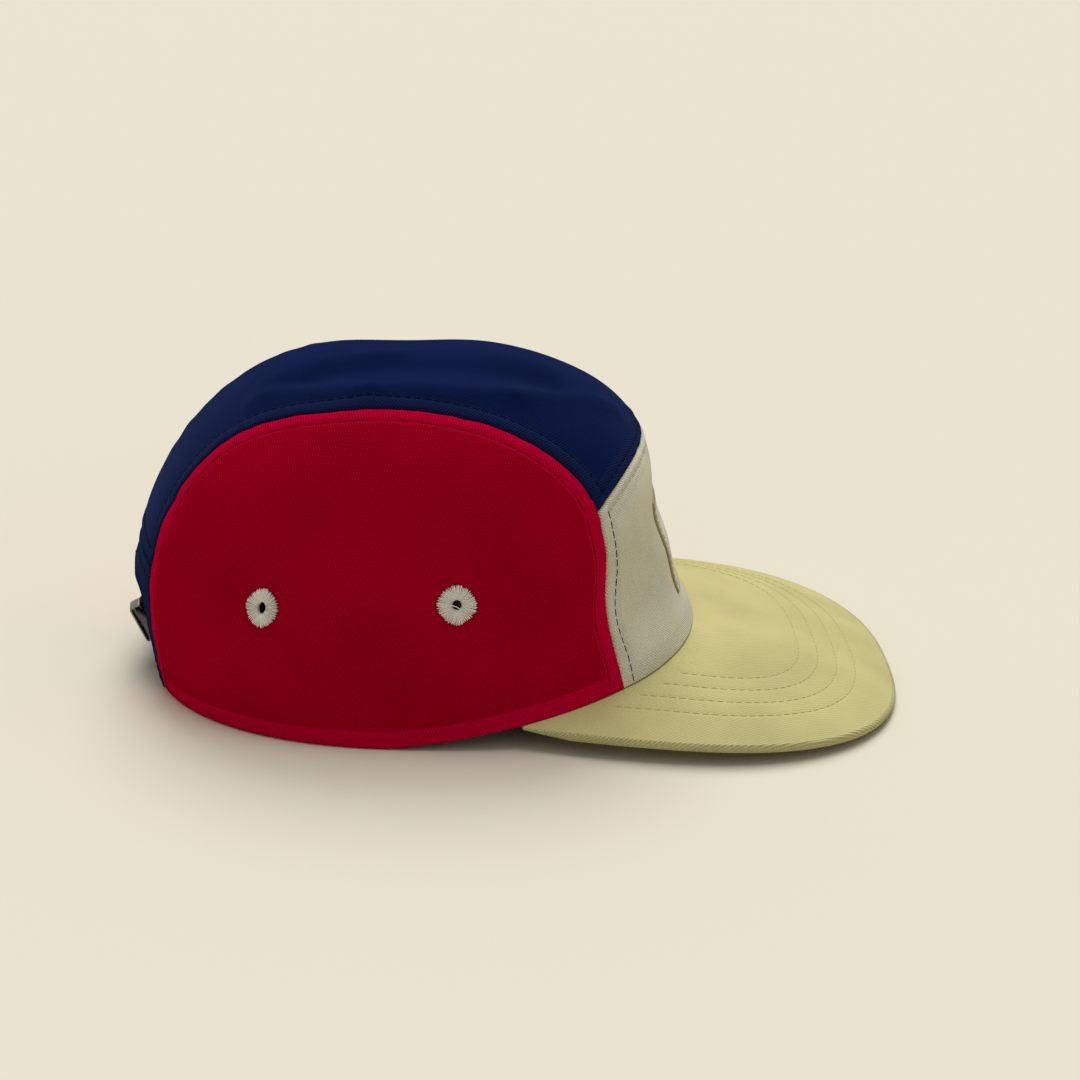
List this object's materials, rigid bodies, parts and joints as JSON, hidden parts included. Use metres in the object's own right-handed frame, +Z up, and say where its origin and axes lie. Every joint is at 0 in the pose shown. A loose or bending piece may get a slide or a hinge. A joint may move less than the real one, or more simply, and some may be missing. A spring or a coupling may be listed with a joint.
{
  "type": "five-panel cap",
  "caption": "Low soft-crowned cap sewn from cloth panels, with a stiff rounded peak, embroidered eyelets, a front label and a strap with a slide clasp across an arched back opening",
  "frame": {"origin": "On the surface that the cap lies on, below the middle of its length, in the plane of symmetry.", "axes": "+Z is up as the cap lies on its hem. -Y is the way the peak points. -X is the wearer's right, the side that the picture shows."},
  "size_m": [0.176, 0.264, 0.1126],
  "materials": {
    "cream_twill": "cream cotton twill",
    "red_twill": "deep red cotton twill",
    "navy_twill": "navy cotton twill",
    "yellow_cotton": "pale yellow cotton over a stiff board",
    "embroidery_thread": "pale satin-stitched thread",
    "woven_label": "plain cream woven label with a brown border",
    "black_webbing": "black webbing",
    "antique_nickel": "dull grey metal"
  },
  "bodies": {
    "root": {"front_panel": "cream_twill", "side_panel_right": "red_twill", "side_panel_left": "red_twill", "top_panel": "navy_twill", "back_panel": "navy_twill", "peak": "yellow_cotton", "eyelet_right_front": "embroidery_thread", "eyelet_right_rear": "embroidery_thread", "eyelet_left_front": "embroidery_thread", "eyelet_left_rear": "embroidery_thread", "front_label": "woven_label", "back_strap": "black_webbing", "strap_clasp": "antique_nickel"}
  },
  "joints": []
}
